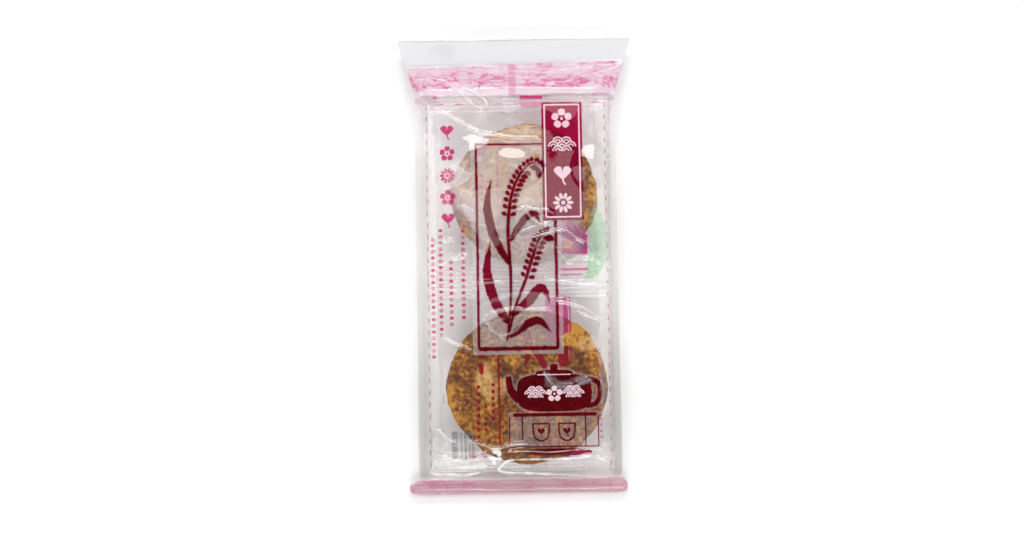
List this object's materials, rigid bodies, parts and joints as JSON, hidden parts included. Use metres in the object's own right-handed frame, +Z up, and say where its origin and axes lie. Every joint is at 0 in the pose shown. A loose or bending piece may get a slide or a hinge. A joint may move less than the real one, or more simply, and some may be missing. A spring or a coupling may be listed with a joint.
{
  "type": "clear film pack of soy-dipped rice crackers",
  "caption": "Sealed clear pillow pack with pink bands, a crimson printed front and a rolled bottom seal, holding stacked round soy-brown rice crackers in their own film sachets.",
  "frame": {"origin": "on the surface the pack lies on, under the middle of its bounding box", "axes": "+Y runs along the pack to its flat top seal, +X to the right of the printed front, +Z up out of the printed front"},
  "size_m": [0.122, 0.236, 0.0259],
  "materials": {
    "film": "gloss",
    "film_print": "satin",
    "sachet_film": "gloss",
    "cracker": "satin"
  },
  "bodies": {
    "root": {"film_pack": "film"}
  },
  "joints": []
}
